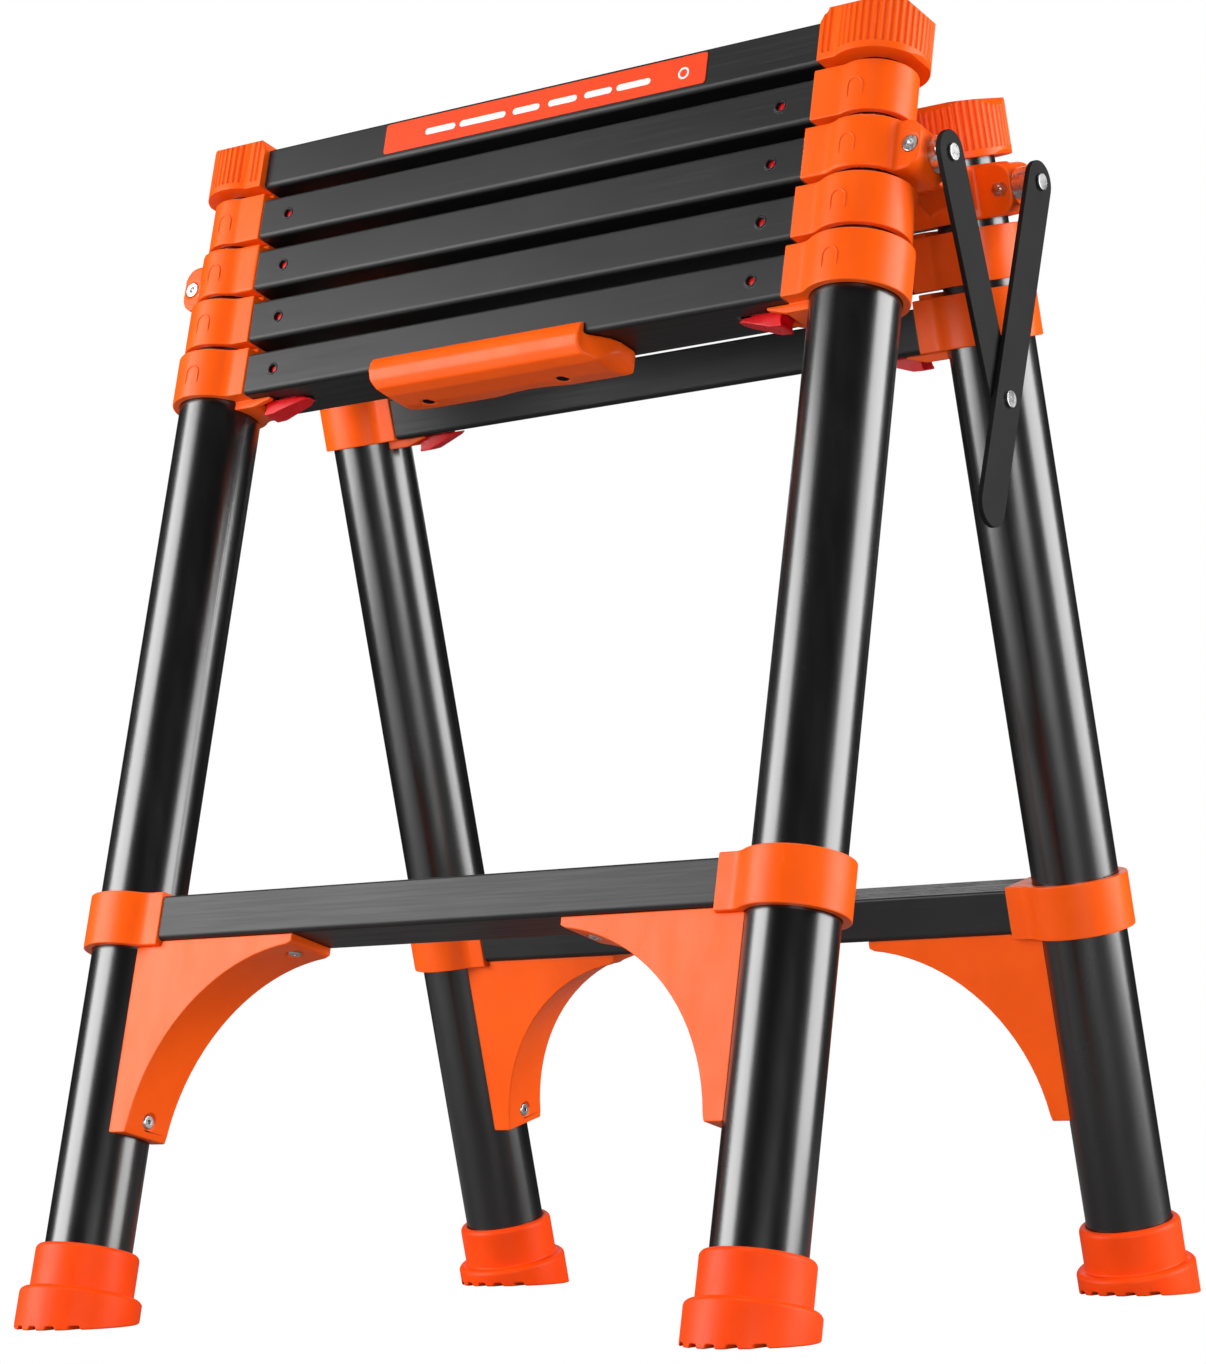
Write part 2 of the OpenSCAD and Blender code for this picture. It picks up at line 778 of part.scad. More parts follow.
module front_collars_5() { color(ORANGE) front() pair() base_collar(); }
module front_step_rung() { front() step_rung(); }
module front_step_collars() { color(ORANGE) front() pair() step_collar(); }
module front_gussets() { color(ORANGE) front() pair() gusset(); }
module front_feet() { color(ORANGE) pair() foot(); }
module front_handle() { color(ORANGE) front() handle(); }

module front_rivets() {
  color(STEEL) front() {
    gusset_rivets();
    handle_screws(false);
  }
}

module front_tubes_4() { front() inner_tubes(4); }
module front_rung_4() { front() lock_rung(4); }
module front_collars_4() { color(ORANGE) front() pair() collar(4); }
module front_tubes_3() { front() inner_tubes(3); }
module front_rung_3() { front() lock_rung(3); }
module front_hinge_collars() { color(ORANGE) front() pair() hinge_collar(false); }
module front_hinge_hardware() {
  color(STEEL) front() {
    link_hardware(front_link_x);
    left() {
      lug_pin(lug_x1);
      lug_screw();
    }
  }
}

module front_tubes_2() { front() inner_tubes(2); }
module front_rung_2() { front() lock_rung(2); }
module front_collars_2() { color(ORANGE) front() pair() collar(2); }
module front_tubes_1() { front() inner_tubes(1, false); }
module front_rung_1() { color(RUNG_GREY) front() rung(rung_z(1), rung_end(1)); }
module front_caps() { color(ORANGE) front() pair() cap(1); }
module label() { color(ORANGE) front() label_plate(); }

module rear_tubes_3() { rear() inner_tubes(3); }
module rear_rung_3() { rear() lock_rung(3); }
module rear_hinge_collars() { color(ORANGE) rear() pair() hinge_collar(true); }

module rear_hinge_hardware() {
  color(STEEL) rear() pair() {
    link_hardware(rear_link_x);
    hinge_pin();
  }
}

module rear_tubes_2() { rear() inner_tubes(2, false); }
module rear_rung_2() { color(RUNG_GREY) rear() rung(rung_z(2), rung_end(2)); }
module rear_caps() { color(ORANGE) rear() pair() cap(2); }
module rear_tubes_4() { rear() inner_tubes(4); }
module rear_rung_4() { rear() lock_rung(4); }
module rear_collars_4() { color(ORANGE) rear() pair() collar(4); }
module rear_tubes_5() { rear() base_tubes(); }
module rear_rung_5() { rear() lock_rung(5); }
module rear_collars_5() { color(ORANGE) rear() pair() base_collar(); }
module rear_step_rung() { rear() step_rung(); }
module rear_step_collars() { color(ORANGE) rear() pair() step_collar(); }
module rear_gussets() { color(ORANGE) rear() pair() gusset(); }
module rear_feet() { color(ORANGE) mirror([0, 1, 0]) pair() foot(); }
module rear_rivets() { color(STEEL) rear() gusset_rivets(); }

module front_link() { color(CHARCOAL) front_link_bar(); }
module rear_link() { color(CHARCOAL) rear_link_bar(); }
module link_rivet() { color(STEEL) link_joint(); }

module front_lock_5_left() { front() left() lock(5); }
module front_lock_5_right() { front() right() lock(5); }
module front_lock_4_left() { front() left() lock(4); }
module front_lock_4_right() { front() right() lock(4); }
module front_lock_3_left() { front() left() lock(3); }
module front_lock_3_right() { front() right() lock(3); }
module front_lock_2_left() { front() left() lock(2); }
module front_lock_2_right() { front() right() lock(2); }
module rear_lock_5_left() { rear() left() lock(5); }
module rear_lock_5_right() { rear() right() lock(5); }
module rear_lock_4_left() { rear() left() lock(4); }
module rear_lock_4_right() { rear() right() lock(4); }
module rear_lock_3_left() { rear() left() lock(3); }
module rear_lock_3_right() { rear() right() lock(3); }

front_tubes_5();
front_rung_5();
front_collars_5();
front_step_rung();
front_step_collars();
front_gussets();
front_feet();
front_handle();
front_rivets();
front_tubes_4();
front_rung_4();
front_collars_4();
front_tubes_3();
front_rung_3();
front_hinge_collars();
front_hinge_hardware();
front_tubes_2();
front_rung_2();
front_collars_2();
front_tubes_1();
front_rung_1();
front_caps();
label();
rear_tubes_3();
rear_rung_3();
rear_hinge_collars();
rear_hinge_hardware();
rear_tubes_2();
rear_rung_2();
rear_caps();
rear_tubes_4();
rear_rung_4();
rear_collars_4();
rear_tubes_5();
rear_rung_5();
rear_collars_5();
rear_step_rung();
rear_step_collars();
rear_gussets();
rear_feet();
rear_rivets();
front_link();
rear_link();
link_rivet();
front_lock_5_left();
front_lock_5_right();
front_lock_4_left();
front_lock_4_right();
front_lock_3_left();
front_lock_3_right();
front_lock_2_left();
front_lock_2_right();
rear_lock_5_left();
rear_lock_5_right();
rear_lock_4_left();
rear_lock_4_right();
rear_lock_3_left();
rear_lock_3_right();
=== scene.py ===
import json
import math

import bmesh
import bpy
from mathutils import Matrix, Vector


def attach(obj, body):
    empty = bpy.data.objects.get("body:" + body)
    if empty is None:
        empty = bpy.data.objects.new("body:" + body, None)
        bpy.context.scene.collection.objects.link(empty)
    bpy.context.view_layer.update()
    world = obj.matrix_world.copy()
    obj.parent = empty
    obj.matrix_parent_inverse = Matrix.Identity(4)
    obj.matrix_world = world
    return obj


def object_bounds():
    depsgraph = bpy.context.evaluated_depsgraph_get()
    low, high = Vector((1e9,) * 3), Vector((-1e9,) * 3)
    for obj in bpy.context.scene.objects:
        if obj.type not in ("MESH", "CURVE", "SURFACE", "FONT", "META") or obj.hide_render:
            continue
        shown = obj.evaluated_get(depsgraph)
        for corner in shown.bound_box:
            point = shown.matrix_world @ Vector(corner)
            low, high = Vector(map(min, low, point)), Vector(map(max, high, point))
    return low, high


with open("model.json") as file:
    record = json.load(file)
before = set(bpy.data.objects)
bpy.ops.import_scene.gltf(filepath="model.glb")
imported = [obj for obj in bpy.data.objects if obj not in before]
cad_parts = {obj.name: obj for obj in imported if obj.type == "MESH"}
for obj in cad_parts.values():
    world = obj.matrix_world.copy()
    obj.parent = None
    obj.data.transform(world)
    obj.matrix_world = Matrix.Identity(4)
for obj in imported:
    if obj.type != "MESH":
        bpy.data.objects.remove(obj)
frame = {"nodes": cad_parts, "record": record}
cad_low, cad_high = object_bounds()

scene = bpy.context.scene
MM = 0.001

# ---------------------------------------------------------------- camera

PHOTO_W, PHOTO_H = 1206, 1364
SENSOR = 36.0
CAM_FOCAL_PX = 3564.4
CAM_AZ, CAM_EL, CAM_ROLL = 0.6301, -0.1126, -0.0256
CAM_PLACE = Vector((1.1723, -1.6045, 0.1226))


def make_camera():
    data = bpy.data.cameras.new("camera")
    data.sensor_fit = "AUTO"
    data.sensor_width = SENSOR
    data.lens = CAM_FOCAL_PX / PHOTO_H * SENSOR
    data.clip_start, data.clip_end = 0.05, 60.0
    cam = bpy.data.objects.new("camera", data)
    scene.collection.objects.link(cam)
    back = Vector((
        math.sin(CAM_AZ) * math.cos(CAM_EL),
        -math.cos(CAM_AZ) * math.cos(CAM_EL),
        math.sin(CAM_EL),
    ))
    right = (-back).cross(Vector((0, 0, 1))).normalized()
    up = right.cross(-back)
    c, s = math.cos(CAM_ROLL), math.sin(CAM_ROLL)
    x_axis, y_axis = c * right + s * up, -s * right + c * up
    cam.matrix_world = Matrix((
        (x_axis.x, y_axis.x, back.x, CAM_PLACE.x),
        (x_axis.y, y_axis.y, back.y, CAM_PLACE.y),
        (x_axis.z, y_axis.z, back.z, CAM_PLACE.z),
        (0, 0, 0, 1),
    ))
    scene.camera = cam
    return cam


make_camera()

# ---------------------------------------------------------------- studio

scene.view_settings.view_transform = "Standard"
scene.view_settings.look = "None"

WORLD_SEEN = 1.0
WORLD_LIGHT = 0.025
FLOOR_SIZE = 60.0
FLOOR_GAP = 0.0004


def make_world():
    world = bpy.data.worlds.new("studio")
    scene.world = world
    world.use_nodes = True
    nodes, links = world.node_tree.nodes, world.node_tree.links
    nodes.clear()
    out = nodes.new("ShaderNodeOutputWorld")
    mix = nodes.new("ShaderNodeMixShader")
    path = nodes.new("ShaderNodeLightPath")
    light = nodes.new("ShaderNodeBackground")
    seen = nodes.new("ShaderNodeBackground")
    light.inputs["Color"].default_value = (1, 1, 1, 1)
    light.inputs["Strength"].default_value = WORLD_LIGHT
    seen.inputs["Color"].default_value = (1, 1, 1, 1)
    seen.inputs["Strength"].default_value = WORLD_SEEN
    links.new(path.outputs["Is Camera Ray"], mix.inputs[0])
    links.new(light.outputs[0], mix.inputs[1])
    links.new(seen.outputs[0], mix.inputs[2])
    links.new(mix.outputs[0], out.inputs["Surface"])


def area_light(name, place, target, width, height, watts, colour=(1, 1, 1)):
    data = bpy.data.lights.new(name, "AREA")
    data.shape = "RECTANGLE"
    data.size, data.size_y = width, height
    data.energy = watts
    data.color = colour
    lamp = bpy.data.objects.new(name, data)
    scene.collection.objects.link(lamp)
    lamp.location = Vector(place)
    lamp.rotation_mode = "QUATERNION"
    lamp.rotation_quaternion = (Vector(target) - Vector(place)).to_track_quat("-Z", "Y")
    return lamp


def around(azimuth_deg, distance, height):
    """A point round the object: azimuth 0 is in front, along -Y, and 90 is at +X."""
    a = math.radians(azimuth_deg)
    return (distance * math.sin(a), -distance * math.cos(a), height)


MIDDLE = (0, 0, 0.34)
CAM_SIDE = math.degrees(CAM_AZ)


def make_lights():
    area_light("soft_left", around(CAM_SIDE - 81, 1.9, 0.80), MIDDLE, 1.4, 1.5, 52)
    area_light("soft_right", around(CAM_SIDE + 77, 1.9, 0.80), MIDDLE, 1.4, 1.5, 49)
    area_light("front_fill", around(CAM_SIDE + 4, 2.8, 0.12), MIDDLE, 1.2, 0.5, 28)
    area_light("top", around(CAM_SIDE - 10, 0.9, 2.6), MIDDLE, 1.2, 1.2, 16)
    area_light("back", around(CAM_SIDE + 178, 2.2, 1.5), MIDDLE, 1.6, 1.2, 7)


make_world()
make_lights()

# ---------------------------------------------------------------- materials


class Nodes:
    """Short names for the nodes of one material. Coordinates are the object's own, in metres."""

    def __init__(self, name):
        self.m = bpy.data.materials.new(name)
        self.m.use_nodes = True
        self.t = self.m.node_tree
        self.t.nodes.clear()
        self.out = self.t.nodes.new("ShaderNodeOutputMaterial")
        self.bsdf = self.t.nodes.new("ShaderNodeBsdfPrincipled")
        self.t.links.new(self.bsdf.outputs[0], self.out.inputs["Surface"])
        self.where = self.t.nodes.new("ShaderNodeTexCoord").outputs["Object"]

    def link(self, a, b):
        self.t.links.new(a, b)

    def mapped(self, scale, turn=(0, 0, 0)):
        n = self.t.nodes.new("ShaderNodeMapping")
        n.inputs["Scale"].default_value = scale
        n.inputs["Rotation"].default_value = turn
        self.link(self.where, n.inputs["Vector"])
        return n.outputs[0]

    def noise(self, scale, detail=3.0, rough=0.55, vector=None, seed=0.0):
        n = self.t.nodes.new("ShaderNodeTexNoise")
        n.noise_dimensions = "4D"
        n.inputs["W"].default_value = seed
        n.inputs["Scale"].default_value = scale
        n.inputs["Detail"].default_value = detail
        n.inputs["Roughness"].default_value = rough
        self.link(vector or self.where, n.inputs["Vector"])
        return n.outputs[0]

    def ramp(self, value, low, high, a, b, smooth=True):
        """value between low and high becomes a to b."""
        n = self.t.nodes.new("ShaderNodeMapRange")
        if smooth:
            n.interpolation_type = "SMOOTHSTEP"
        n.inputs["From Min"].default_value = low
        n.inputs["From Max"].default_value = high
        n.inputs["To Min"].default_value = a
        n.inputs["To Max"].default_value = b
        self.link(value, n.inputs["Value"])
        return n.outputs[0]

    def math(self, op, a, b):
        n = self.t.nodes.new("ShaderNodeMath")
        n.operation = op
        n.use_clamp = op == "ADD"
        for i, v in enumerate((a, b)):
            if isinstance(v, (int, float)):
                n.inputs[i].default_value = v
            else:
                self.link(v, n.inputs[i])
        return n.outputs[0]

    def mix(self, share, a, b):
        """Colours or colour sockets a and b."""
        n = self.t.nodes.new("ShaderNodeMix")
        n.data_type = "RGBA"
        self.link(share, n.inputs[0])
        for i, v in ((6, a), (7, b)):
            if isinstance(v, tuple):
                n.inputs[i].default_value = (*v, 1)
            else:
                self.link(v, n.inputs[i])
        return n.outputs[2]

    def bump(self, *layers, edge=0.0):
        """layers of (height, strength, distance in metres), one on the other."""
        normal = None
        if edge:
            b = self.t.nodes.new("ShaderNodeBevel")
            b.samples = 4
            b.inputs["Radius"].default_value = edge
            normal = b.outputs[0]
        for height, strength, distance in layers:
            n = self.t.nodes.new("ShaderNodeBump")
            n.inputs["Strength"].default_value = strength
            n.inputs["Distance"].default_value = distance
            self.link(height, n.inputs["Height"])
            if normal:
                self.link(normal, n.inputs["Normal"])
            normal = n.outputs[0]
        self.link(normal, self.bsdf.inputs["Normal"])

    def edges(self, reach, seed):
        """1 where a sharp edge is nearer than reach, in patches; 0 on the flats."""
        near = self.t.nodes.new("ShaderNodeBevel")
        near.samples = 4
        near.inputs["Radius"].default_value = reach
        turn = self.t.nodes.new("ShaderNodeVectorMath")
        turn.operation = "DOT_PRODUCT"
        self.link(near.outputs[0], turn.inputs[0])
        self.link(self.t.nodes.new("ShaderNodeNewGeometry").outputs["True Normal"], turn.inputs[1])
        mask = self.ramp(turn.outputs["Value"], 0.985, 0.88, 0, 1)
        patch = self.ramp(self.noise(55, 4, 0.7, seed=seed), 0.32, 0.58, 0.35, 1)
        return self.math("MULTIPLY", mask, patch)

    def facing_up(self):
        """1 where the surface faces up, -1 where it faces down."""
        n = self.t.nodes.new("ShaderNodeSeparateXYZ")
        self.link(self.t.nodes.new("ShaderNodeNewGeometry").outputs["Normal"], n.inputs[0])
        return n.outputs[2]

    def set(self, **values):
        """Values that are the same all over the surface."""
        for key, value in values.items():
            socket = self.bsdf.inputs[key.replace("_", " ")]
            if isinstance(value, tuple):
                value = (*value, 1)
            socket.default_value = value


def plastic(name, colour, deep, pale, rough=0.34, grain=0.16, seed=1.0, spec=0.3):
    n = Nodes(name)
    cloud = n.ramp(n.noise(22, 3, 0.6, seed=seed), 0.3, 0.7, 0, 1)
    fine = n.noise(900, 2, 0.6, seed=seed + 1)
    flow = n.noise(90, 4, 0.65, vector=n.mapped((1.0, 1.0, 0.25)), seed=seed + 2)
    base = n.mix(cloud, deep, colour)
    scuff = n.ramp(n.noise(160, 5, 0.75, seed=seed + 3), 0.62, 0.78, 0, 0.55)
    worn = n.mix(scuff, base, pale)
    edge = n.math("MULTIPLY", n.edges(0.0008, seed + 4), 0.4)
    n.link(n.mix(edge, worn, pale), n.bsdf.inputs["Base Color"])
    satin = n.ramp(flow, 0.3, 0.7, rough - 0.06, rough + 0.07)
    rough_map = n.math("ADD", satin, n.ramp(scuff, 0, 0.55, 0, 0.12))
    n.link(rough_map, n.bsdf.inputs["Roughness"])
    n.set(Specular_IOR_Level=spec)
    n.bump((fine, grain, 0.00012), (flow, 0.12, 0.0004), edge=0.0007)
    return n.m


def tube_paint(name):
    n = Nodes(name)
    streak = n.noise(60, 4, 0.6, vector=n.mapped((1, 1, 0.05)), seed=4)
    speck = n.noise(1500, 2, 0.5, seed=5)
    dust = n.ramp(n.noise(420, 3, 0.7, seed=6), 0.66, 0.8, 0, 0.35)
    base = n.mix(n.ramp(streak, 0.35, 0.7, 0, 1), (0.0015, 0.0015, 0.0017), (0.0035, 0.0035, 0.0038))
    n.link(n.mix(dust, base, (0.03, 0.03, 0.031)), n.bsdf.inputs["Base Color"])
    gloss = n.ramp(streak, 0.3, 0.75, 0.23, 0.28)
    n.link(n.math("ADD", gloss, n.ramp(dust, 0, 0.35, 0, 0.08)), n.bsdf.inputs["Roughness"])
    n.set(Specular_IOR_Level=1.0)
    n.bump((speck, 0.1, 0.00008), (streak, 0.05, 0.0003), edge=0.0005)
    return n.m


def rung_metal(name):
    n = Nodes(name)
    grain = n.noise(700, 3, 0.6, vector=n.mapped((0.02, 1, 1)), seed=8)
    cloud = n.noise(9, 3, 0.6, seed=9)
    speck = n.noise(1200, 2, 0.6, seed=10)
    base = n.mix(n.ramp(cloud, 0.3, 0.7, 0, 1), (0.012, 0.012, 0.0123), (0.019, 0.019, 0.0193))
    lined = n.mix(n.ramp(grain, 0.55, 0.75, 0, 0.35), base, (0.035, 0.035, 0.035))
    # Painted shade: the base colour goes to near black (0.002) on faces that point down, standing for the
    # shade under each rung.
    under = n.ramp(n.facing_up(), -0.92, -0.6, 0.85, 0)
    shade = n.mix(under, lined, (0.002, 0.002, 0.002))
    # Painted highlight: pale grey (0.34) on the sharp edges, in patches, standing for the light line that the
    # rounded edges catch.
    edge = n.math("MULTIPLY", n.edges(0.0014, 12.0), 0.85)
    n.link(n.mix(edge, shade, (0.34, 0.34, 0.34)), n.bsdf.inputs["Base Color"])
    n.link(n.ramp(grain, 0.3, 0.75, 0.36, 0.46), n.bsdf.inputs["Roughness"])
    n.set(Metallic=0.1, Specular_IOR_Level=0.28)
    n.bump((grain, 0.09, 0.0001), (speck, 0.08, 0.00006), edge=0.0006)
    return n.m


def steel(name, tint=(0.62, 0.62, 0.63), rough=0.24, seed=11.0):
    n = Nodes(name)
    turned = n.noise(500, 3, 0.6, vector=n.mapped((1, 0.12, 0.12)), seed=seed)
    stain = n.ramp(n.noise(140, 4, 0.7, seed=seed + 1), 0.45, 0.75, 0, 0.5)
    n.link(n.mix(stain, tint, tuple(0.55 * c for c in tint)), n.bsdf.inputs["Base Color"])
    n.link(n.math("ADD", n.ramp(turned, 0.3, 0.7, rough - 0.05, rough + 0.08), n.ramp(stain, 0, 0.5, 0, 0.1)),
           n.bsdf.inputs["Roughness"])
    n.set(Metallic=1.0)
    n.bump((turned, 0.1, 0.00006), edge=0.0004)
    return n.m


def link_paint(name):
    n = Nodes(name)
    cloud = n.noise(45, 4, 0.6, seed=14)
    peel = n.noise(800, 2, 0.5, seed=15)
    chip = n.ramp(n.noise(260, 4, 0.7, seed=16), 0.68, 0.76, 0, 0.6)
    base = n.mix(n.ramp(cloud, 0.3, 0.7, 0, 1), (0.007, 0.007, 0.007), (0.012, 0.012, 0.0118))
    n.link(n.mix(chip, base, (0.085, 0.085, 0.085)), n.bsdf.inputs["Base Color"])
    n.link(n.ramp(cloud, 0.3, 0.7, 0.48, 0.6), n.bsdf.inputs["Roughness"])
    n.set(Specular_IOR_Level=0.1)
    n.bump((peel, 0.14, 0.0001), edge=0.0005)
    return n.m


# Each plastic: its colour, a deeper cloud of it, and the pale tone of scuffs and worn edges.
ORANGE = plastic("collar_orange", (0.97, 0.107, 0.003), (0.91, 0.095, 0.002), (1.0, 0.21, 0.04),
                 rough=0.36, spec=0.2)
RUBBER = plastic("foot_orange", (0.97, 0.066, 0.001), (0.90, 0.055, 0.001), (1.0, 0.15, 0.02),
                 rough=0.44, grain=0.24, seed=21, spec=0.16)
RED = plastic("lock_red", (0.74, 0.006, 0.010), (0.58, 0.004, 0.007), (0.88, 0.04, 0.04),
              rough=0.3, spec=0.22, seed=31)
LABEL = plastic("label_orange", (0.80, 0.052, 0.003), (0.73, 0.044, 0.002), (0.86, 0.08, 0.015),
                rough=0.5, grain=0.06, seed=41, spec=0.25)
BLACK = tube_paint("tube_black")
GREY = rung_metal("rung_grey")
STEEL = steel("bright_steel")
CHARCOAL = link_paint("link_charcoal")
# Near-black plastic used as painted shade: the dark collar round each lock's red spot, the rings in the rung
# windows and the cups in the handle's screw recesses.
PAINTED_SHADE_BLACK = plastic("painted_shade_black", (0.012, 0.011, 0.011), (0.007, 0.006, 0.006), (0.05, 0.045, 0.045),
               rough=0.4, seed=61)
PRINT = plastic("label_print", (0.86, 0.84, 0.82), (0.78, 0.75, 0.73), (0.95, 0.93, 0.9),
                rough=0.5, grain=0.04, seed=71)
SLOT_MATERIAL = {
    "collar_orange": ORANGE, "foot_orange": RUBBER, "lock_red": RED, "label_orange": LABEL,
    "tube_black": BLACK, "rung_grey": GREY, "bright_steel": STEEL, "link_charcoal": CHARCOAL,
}

# ---------------------------------------------------------------- CAD nodes


def slot_of(node):
    for part in frame["record"]["subparts"]:
        if part["node"] == node:
            return part["material_slot"]
    return None


SMOOTH = math.radians(32)
WELD_GAP = 4e-6
FLAT_ANGLE = math.radians(0.6)
# Width in millimetres of the rounded edges, by material slot and for the nodes with finer forms.
EDGE = {"collar_orange": 0.7, "foot_orange": 0.9, "lock_red": 0.35, "label_orange": 0.15,
        "tube_black": 0.35, "rung_grey": 0.45, "bright_steel": 0.25, "link_charcoal": 0.45}
NODE_EDGE = {"front_caps": 0.3, "rear_caps": 0.3}
# Nodes with softly blended forms: grid in millimetres, and rounds of smoothing.
SOFT_NODES = {"front_handle": (0.8, 10), "front_hinge_collars": (0.75, 4), "rear_hinge_collars": (0.75, 4)}


def finish_node(node):
    """Material and rounded edges for a CAD node. Its mesh stays as packed."""
    obj = frame["nodes"][node]
    slot = slot_of(node)
    obj.data.materials.clear()
    obj.data.materials.append(SLOT_MATERIAL[slot])
    weld = obj.modifiers.new("weld", "WELD")
    weld.merge_threshold = WELD_GAP
    flat = obj.modifiers.new("flat", "DECIMATE")
    flat.decimate_type = "DISSOLVE"
    flat.angle_limit = FLAT_ANGLE
    obj.data.shade_smooth()
    if node in SOFT_NODES:
        voxel, rounds = SOFT_NODES[node]
        skin = obj.modifiers.new("skin", "REMESH")
        skin.mode = "VOXEL"
        skin.voxel_size = voxel * MM
        skin.use_smooth_shade = True
        soft = obj.modifiers.new("soft", "SMOOTH")
        soft.factor = 0.5
        soft.iterations = rounds
        return
    bevel = obj.modifiers.new("edge", "BEVEL")
    bevel.width = NODE_EDGE.get(node, EDGE[slot]) * MM
    bevel.segments = 2
    bevel.limit_method = "ANGLE"
    bevel.angle_limit = SMOOTH
    bevel.use_clamp_overlap = False
    bevel.miter_outer = "MITER_ARC"
    smooth = obj.modifiers.new("normals", "WEIGHTED_NORMAL")
    smooth.keep_sharp = False


for name in sorted(frame["nodes"]):
    finish_node(name)

# ---------------------------------------------------------------- small moulded details, print and painted shade

# Millimetres and radians, the same as the CAD part's own values.
LEG_LEAN = math.radians(13.6)
FOOT_REACH = 195.0
AXIS_X = 220.0
RUNG_DEPTH = 38.0
STACK_BASE, STACK_PITCH = 534.8, 33.2
WINDOW_UP = 13.0
TUBE_R = {5: 24.0, 4: 21.75, 3: 19.5, 2: 17.25, 1: 15.0}
COLLAR_WALL = 4.5
LOCK_FACE_Y = -17.0
FRONT_RUNGS, REAR_RUNGS = (5, 4, 3, 2), (5, 4, 3)
SIDES = {"left": -1, "right": 1}
BODIES = frame["record"]["behaviour"]["bodies"]


def rung_z(n):
    return STACK_BASE + (5 - n) * STACK_PITCH


def lock_x(n):
    return AXIS_X - 54.5 + (24.0 - TUBE_R[n])


def body_of(node):
    return next(b for b, members in BODIES.items() if node in members)


def leg_point(side, x, y, z):
    """Leg coordinates in millimetres (x along the rungs, y inwards, z up the leg) to metres in the frame."""
    wy = -FOOT_REACH + z * math.sin(LEG_LEAN) + y * math.cos(LEG_LEAN)
    wz = z * math.cos(LEG_LEAN) - y * math.sin(LEG_LEAN)
    return Vector((x, wy if side == "front" else -wy, wz)) * MM


def piece(name, bm, materials, body, smooth=SMOOTH):
    bmesh.ops.recalc_face_normals(bm, faces=bm.faces)
    mesh = bpy.data.meshes.new(name)
    bm.to_mesh(mesh)
    bm.free()
    for m in materials:
        mesh.materials.append(m)
    mesh.shade_smooth()
    mesh.set_sharp_from_angle(angle=smooth)
    obj = bpy.data.objects.new(name, mesh)
    scene.collection.objects.link(obj)
    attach(obj, body)
    return obj


def add_ridge(bm, path, outward, radius):
    """A round ridge along a path that lies on a surface; outward gives the surface normal at each point."""
    ring_count = 8
    rings = []
    for k, p in enumerate(path):
        before, after = path[max(k - 1, 0)], path[min(k + 1, len(path) - 1)]
        along = (after - before).normalized()
        out = (outward[k] - along * outward[k].dot(along)).normalized()
        across = along.cross(out)
        end = 0.45 if k in (0, len(path) - 1) else 1.0
        rings.append([
            bm.verts.new(p + end * radius * (math.cos(a) * across + math.sin(a) * out))
            for a in (2 * math.pi * j / ring_count for j in range(ring_count))
        ])
    for a, b in zip(rings, rings[1:]):
        for j in range(ring_count):
            bm.faces.new((a[j], a[(j + 1) % ring_count], b[(j + 1) % ring_count], b[j]))
    bm.faces.new(rings[0])
    bm.faces.new(rings[-1])


MARK_HALF_W, MARK_LEG, MARK_TOP, MARK_RIDGE = 4.4, 4.8, 1.6, 0.55


def arch_marks(side, n, node):
    """The raised arch moulded on the outer face of each collar."""
    radius = TUBE_R[n] + COLLAR_WALL
    flat = [(-MARK_HALF_W, -MARK_LEG), (-MARK_HALF_W, -MARK_LEG / 2), (-MARK_HALF_W, 0.0)]
    flat += [
        (-MARK_HALF_W * math.cos(a), MARK_TOP + MARK_HALF_W * math.sin(a))
        for a in (math.pi * k / 12 for k in range(13))
    ]
    flat += [(MARK_HALF_W, 0.0), (MARK_HALF_W, -MARK_LEG / 2), (MARK_HALF_W, -MARK_LEG)]
    bm = bmesh.new()
    for sign in SIDES.values():
        path, outward = [], []
        for u, v in flat:
            a = u / radius
            z = rung_z(n) + WINDOW_UP + v
            dx, dy = radius * math.sin(a), -radius * math.cos(a)
            path.append(leg_point(side, sign * AXIS_X + dx, dy, z))
            far = leg_point(side, sign * AXIS_X + 2 * dx, 2 * dy, z)
            outward.append((far - path[-1]).normalized())
        add_ridge(bm, path, outward, MARK_RIDGE * MM)
    return piece("marks_" + node, bm, [ORANGE], body_of(node))


def add_turned(bm, place, profile, count=24):
    """A shape turned about the leg's y axis at place = (side, x, z); profile is (radius, y, material)."""
    side, x, z = place
    rings = []
    for radius, y, _ in profile:
        if radius == 0:
            rings.append([bm.verts.new(leg_point(side, x, y, z))])
        else:
            rings.append([
                bm.verts.new(leg_point(side, x + radius * math.cos(a), y, z + radius * math.sin(a)))
                for a in (2 * math.pi * j / count for j in range(count))
            ])
    for k, (a, b) in enumerate(zip(rings, rings[1:])):
        for j in range(count):
            corners = [a[j % len(a)], a[(j + 1) % len(a)], b[(j + 1) % len(b)], b[j % len(b)]]
            corners = list(dict.fromkeys(corners))
            if len(corners) > 2:
                bm.faces.new(corners).material_index = profile[k][2]


def lens(side, n, hand):
    """Dark collar of painted shade and domed red spot on the lock, behind the round window of the rung."""
    node = f"{side}_lock_{n}_{hand}"
    y = LOCK_FACE_Y
    # Material 0 is the painted shade of the window's hollow round the spot; material 1 is the red spot.
    profile = [
        (3.7, y + 0.05, 0), (3.7, y - 0.16, 0), (2.5, y - 0.18, 0), (2.3, y - 0.06, 1), (2.2, y - 0.14, 1),
        (1.8, y - 0.23, 1), (1.2, y - 0.29, 1), (0.6, y - 0.32, 1), (0, y - 0.33, 1),
    ]
    bm = bmesh.new()
    add_turned(bm, (side, SIDES[hand] * lock_x(n), rung_z(n) + WINDOW_UP), profile)
    return piece("lens_" + node, bm, [PAINTED_SHADE_BLACK, RED], body_of(node))


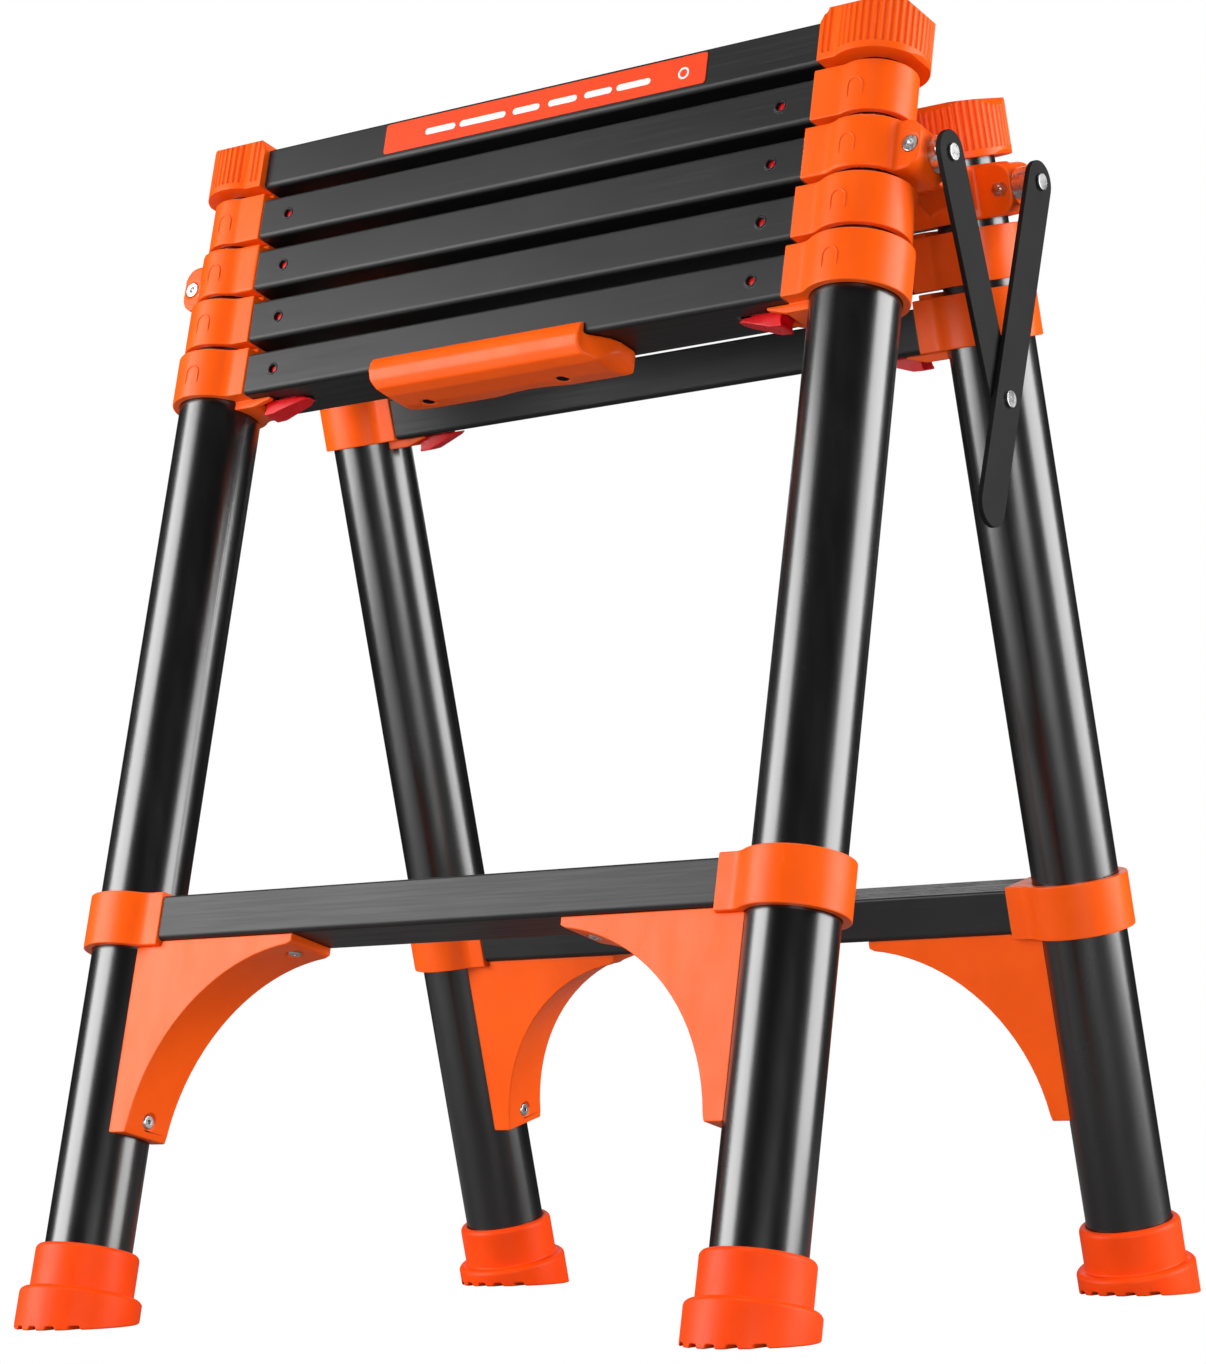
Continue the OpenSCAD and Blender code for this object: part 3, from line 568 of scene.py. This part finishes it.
def painted_window_shade(side, n):
    """Thin dark ring of painted shade in each round window of a rung."""
    node = f"{side}_rung_{n}"
    y = -RUNG_DEPTH / 2
    profile = [
        (3.18, y + 1.5, 0), (3.18, y - 0.02, 0), (3.75, y - 0.04, 0), (3.7, y - 0.2, 0), (3.4, y - 0.28, 0),
        (2.9, y - 0.22, 0), (2.75, y - 0.05, 0), (2.75, y + 1.5, 0), (3.18, y + 1.5, 0),
    ]
    bm = bmesh.new()
    for sign in SIDES.values():
        add_turned(bm, (side, sign * lock_x(n), rung_z(n) + WINDOW_UP), profile)
    bmesh.ops.remove_doubles(bm, verts=bm.verts, dist=1e-6)
    return piece("painted_shade_rims_" + node, bm, [PAINTED_SHADE_BLACK], body_of(node))


HANDLE_SCREWS_X, HANDLE_SCREWS_Y = (-63.0, 31.0), 3.0
WELL_R, WELL_WALL, WELL_MOUTH, WELL_FLOOR = 3.55, 0.25, -13.6, -7.6


def painted_screw_shade():
    """Dark cups of painted shade in the two screw recesses under the handle."""
    bm = bmesh.new()
    count = 20
    base = rung_z(5)
    profile = [(WELL_R, WELL_FLOOR), (WELL_R, WELL_MOUTH), (WELL_R - WELL_WALL, WELL_MOUTH),
               (WELL_R - WELL_WALL, WELL_FLOOR - WELL_WALL)]
    for x in HANDLE_SCREWS_X:
        rings = []
        for r, z in profile:
            angles = (2 * math.pi * j / count for j in range(count))
            rings.append([
                bm.verts.new(leg_point(
                    "front", x + r * math.cos(a), HANDLE_SCREWS_Y + r * math.sin(a), base + z))
                for a in angles
            ])
        for a, b in zip(rings, rings[1:]):
            for j in range(count):
                bm.faces.new((a[j], a[(j + 1) % count], b[(j + 1) % count], b[j]))
        bm.faces.new(rings[0])
        bm.faces.new(rings[-1])
    return piece("painted_screw_shade", bm, [PAINTED_SHADE_BLACK], body_of("front_handle"))


LABEL_Y = -19.5
# Each bar: its two ends and its height.
LABEL_BARS = ((-74, -52, 4.0), (-49, -16, 4.0), (-11, 8, 4.0), (14, 34, 4.0), (39, 58, 4.0), (61, 84, 4.0))
LABEL_MID_Z = 680.4
LABEL_SPOT_X, LABEL_SPOT_R, LABEL_SPOT_WALL = 106.0, 3.6, 1.2
PRINT_BACK, PRINT_FACE = LABEL_Y + 0.02, LABEL_Y - 0.06


def label_marks():
    """Plain printed bars and a ring in place of the label's lettering."""
    bm = bmesh.new()
    for x0, x1, h in LABEL_BARS:
        r = h / 2
        turns = [math.pi / 2 + math.pi * k / 6 for k in range(7)]
        outline = [(x0 + r + r * math.cos(a), r * math.sin(a)) for a in turns]
        outline += [(x1 - r + r * math.cos(a - math.pi), r * math.sin(a - math.pi)) for a in turns]
        low_ring, top_ring = (
            [bm.verts.new(leg_point("front", x, y, LABEL_MID_Z + z)) for x, z in outline]
            for y in (PRINT_BACK, PRINT_FACE)
        )
        bm.faces.new(top_ring)
        bm.faces.new(low_ring)
        for k in range(len(outline)):
            j = (k + 1) % len(outline)
            bm.faces.new((low_ring[k], low_ring[j], top_ring[j], top_ring[k]))
    r = LABEL_SPOT_R
    inner = r - LABEL_SPOT_WALL
    profile = [(r, PRINT_BACK, 0), (r, PRINT_FACE, 0), (inner, PRINT_FACE, 0), (inner, PRINT_BACK, 0),
               (r, PRINT_BACK, 0)]
    add_turned(bm, ("front", LABEL_SPOT_X, LABEL_MID_Z), profile)
    bmesh.ops.remove_doubles(bm, verts=bm.verts, dist=1e-6)
    return piece("label_marks", bm, [PRINT], body_of("label"))


COLLAR_NODES = (
    ("front", 2, "front_collars_2"), ("front", 3, "front_hinge_collars"), ("front", 4, "front_collars_4"),
    ("front", 5, "front_collars_5"), ("rear", 3, "rear_hinge_collars"), ("rear", 4, "rear_collars_4"),
    ("rear", 5, "rear_collars_5"),
)
for where, number, collar in COLLAR_NODES:
    arch_marks(where, number, collar)
for where, numbers in (("front", FRONT_RUNGS), ("rear", REAR_RUNGS)):
    for number in numbers:
        painted_window_shade(where, number)
        for hand in SIDES:
            lens(where, number, hand)
label_marks()
painted_screw_shade()

# ---------------------------------------------------------------- floor


def make_floor():
    """A matt pale floor that lights the object from below and shows in its gloss. The camera and the lamps
    see through it to the pale backdrop, so that a leg pushed out below the floor stays in sight and lit."""
    n = Nodes("floor")
    cloud = n.noise(3, 3, 0.5, seed=50)
    n.link(n.mix(cloud, (0.24, 0.24, 0.24), (0.27, 0.27, 0.27)), n.bsdf.inputs["Base Color"])
    n.set(Roughness=0.7, Specular_IOR_Level=0.2)
    path = n.t.nodes.new("ShaderNodeLightPath")
    through = n.math("MAXIMUM", path.outputs["Is Camera Ray"], path.outputs["Is Shadow Ray"])
    clear = n.t.nodes.new("ShaderNodeBsdfTransparent")
    blend = n.t.nodes.new("ShaderNodeMixShader")
    n.link(through, blend.inputs[0])
    n.link(n.bsdf.outputs[0], blend.inputs[1])
    n.link(clear.outputs[0], blend.inputs[2])
    n.link(blend.outputs[0], n.out.inputs["Surface"])
    mesh = bpy.data.meshes.new("floor")
    h = FLOOR_SIZE / 2
    mesh.from_pydata([(-h, -h, 0), (h, -h, 0), (h, h, 0), (-h, h, 0)], [], [(0, 1, 2, 3)])
    mesh.materials.append(n.m)
    floor = bpy.data.objects.new("floor", mesh)
    scene.collection.objects.link(floor)
    floor.location.z = cad_low.z - FLOOR_GAP


make_floor()
